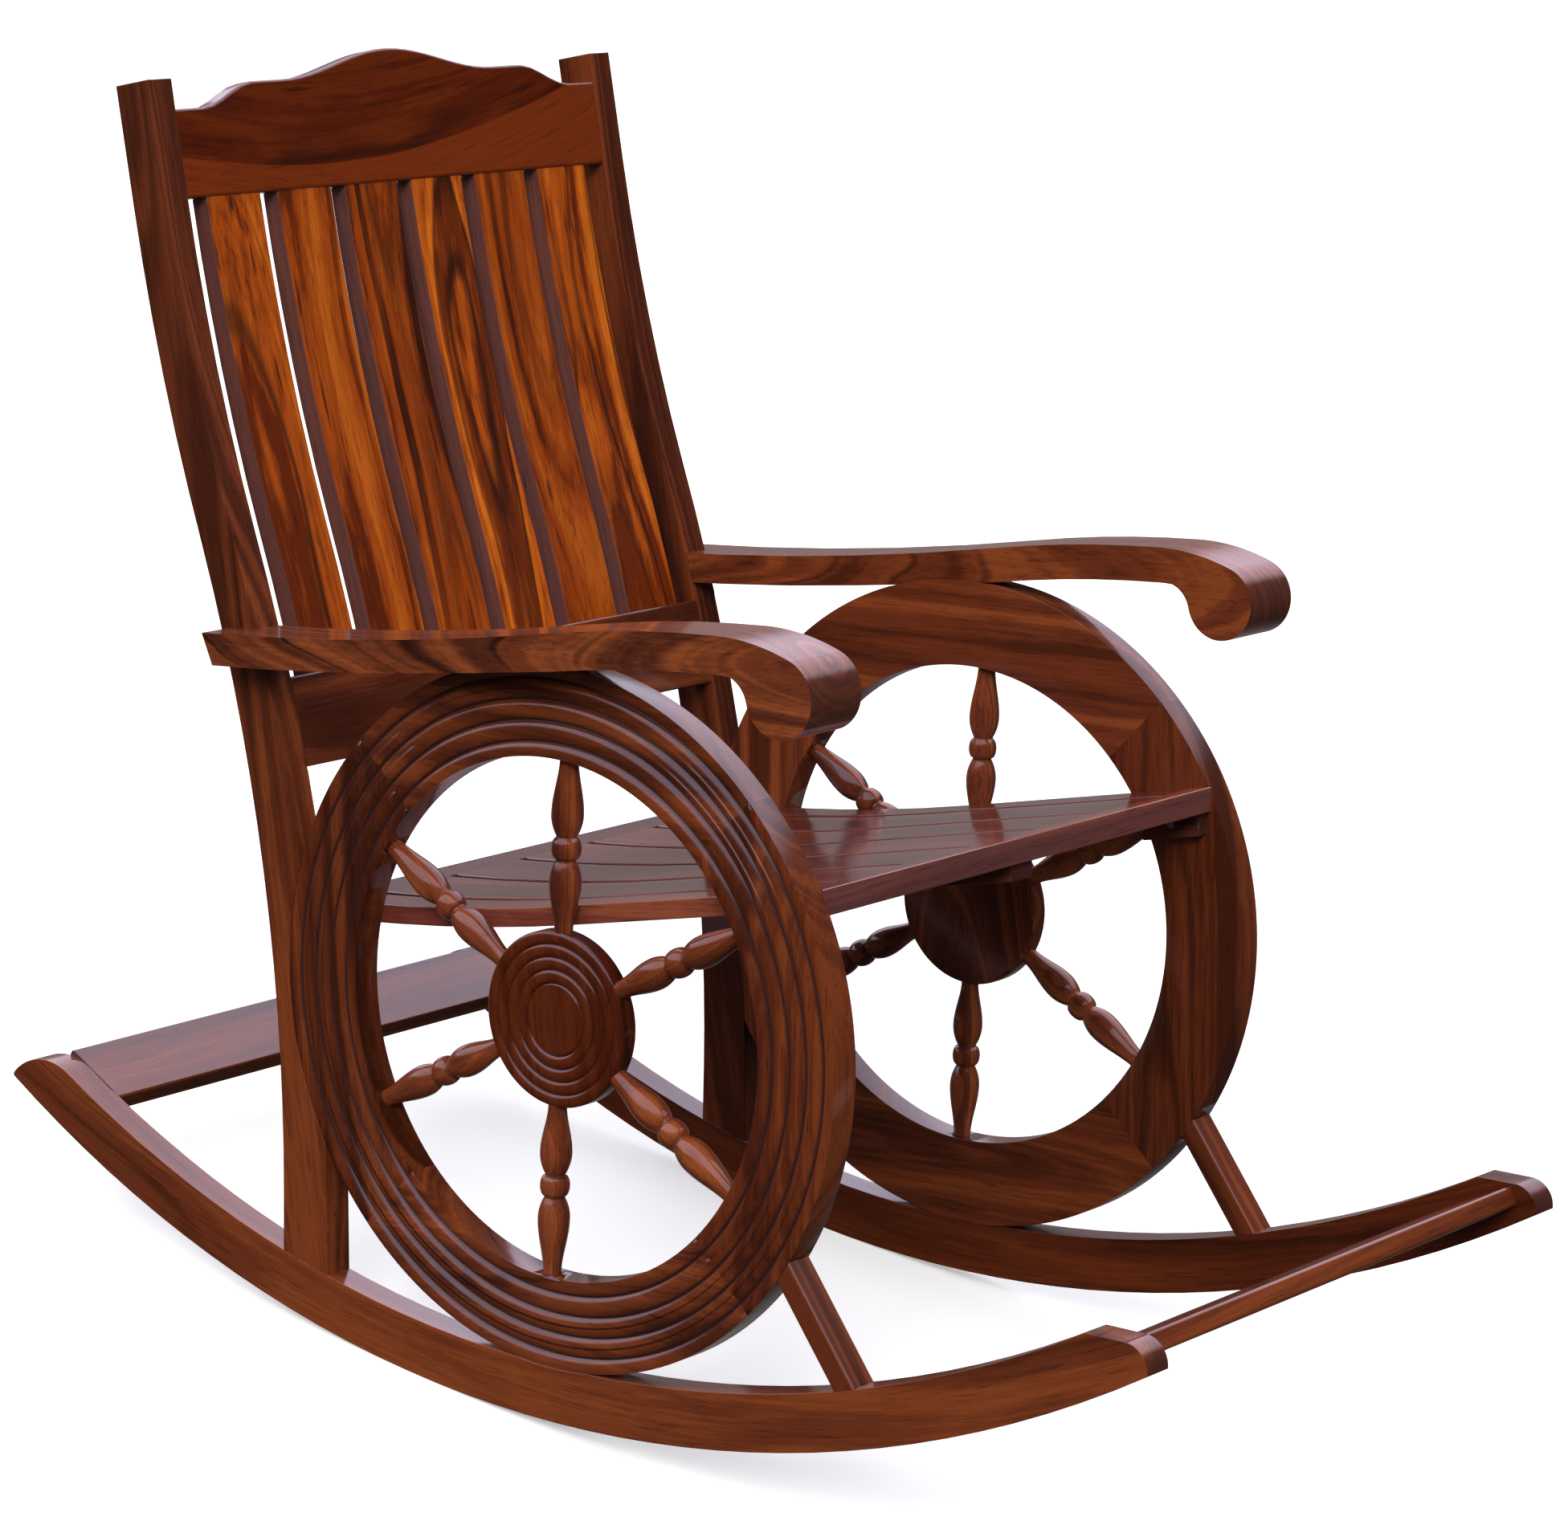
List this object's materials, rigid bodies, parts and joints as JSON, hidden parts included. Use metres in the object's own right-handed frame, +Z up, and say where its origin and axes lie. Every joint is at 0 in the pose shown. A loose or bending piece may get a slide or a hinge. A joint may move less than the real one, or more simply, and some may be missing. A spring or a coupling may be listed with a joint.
{
  "type": "rocking chair",
  "caption": "Wooden armchair on curved rockers, with a spoked decorative wheel under each arm, a slatted dished seat and a slatted raked back.",
  "frame": {"origin": "on the floor under the middle of the chair's length and width", "axes": "+Z up, the sitter faces -Y, so the sitter's right is -X; the rockers run along Y"},
  "size_m": [0.638, 1.1856, 1.0051],
  "materials": {
    "rosewood_frame": "polished dark red-brown lacquer",
    "rosewood_back": "polished figured orange-brown lacquer",
    "rosewood_seat": "polished red-brown lacquer",
    "rosewood_turned": "turned and polished dark lacquer",
    "rosewood_hidden": "dull lacquer",
    "dowel_beech": "plain glued beech",
    "steel_screw": "zinc plated"
  },
  "bodies": {
    "root": {"rocker_right": "rosewood_frame", "rocker_left": "rosewood_frame", "front_stretcher": "rosewood_frame", "rear_stretcher": "rosewood_frame", "post_right": "rosewood_frame", "post_left": "rosewood_frame", "lower_back_rail": "rosewood_frame", "arm_right": "rosewood_frame", "arm_left": "rosewood_frame", "brace_right": "rosewood_frame", "brace_left": "rosewood_frame", "felloe_right_front": "rosewood_frame", "felloe_right_bottom": "rosewood_frame", "felloe_right_rear": "rosewood_frame", "felloe_right_top": "rosewood_frame", "felloe_left_front": "rosewood_frame", "felloe_left_bottom": "rosewood_frame", "felloe_left_rear": "rosewood_frame", "felloe_left_top": "rosewood_frame", "crest_rail": "rosewood_back", "back_slat_1": "rosewood_back", "back_slat_2": "rosewood_back", "back_slat_3": "rosewood_back", "back_slat_4": "rosewood_back", "back_slat_5": "rosewood_back", "back_slat_6": "rosewood_back", "seat_front_rail": "rosewood_seat", "seat_rear_rail": "rosewood_seat", "seat_side_rail_right": "rosewood_seat", "seat_side_rail_left": "rosewood_seat", "seat_slat_1": "rosewood_seat", "seat_slat_2": "rosewood_seat", "seat_slat_3": "rosewood_seat", "seat_slat_4": "rosewood_seat", "seat_slat_5": "rosewood_seat", "hub_right": "rosewood_turned", "hub_left": "rosewood_turned", "spoke_right_1": "rosewood_turned", "spoke_right_2": "rosewood_turned", "spoke_right_3": "rosewood_turned", "spoke_right_4": "rosewood_turned", "spoke_right_5": "rosewood_turned", "spoke_right_6": "rosewood_turned", "spoke_left_1": "rosewood_turned", "spoke_left_2": "rosewood_turned", "spoke_left_3": "rosewood_turned", "spoke_left_4": "rosewood_turned", "spoke_left_5": "rosewood_turned", "spoke_left_6": "rosewood_turned", "seat_bearer": "rosewood_hidden", "seat_cleat_right_front": "rosewood_hidden", "seat_cleat_right_rear": "rosewood_hidden", "seat_cleat_left_front": "rosewood_hidden", "seat_cleat_left_rear": "rosewood_hidden", "frame_dowels": "dowel_beech", "rail_dowels": "dowel_beech", "cleat_screws": "steel_screw"}
  },
  "joints": []
}
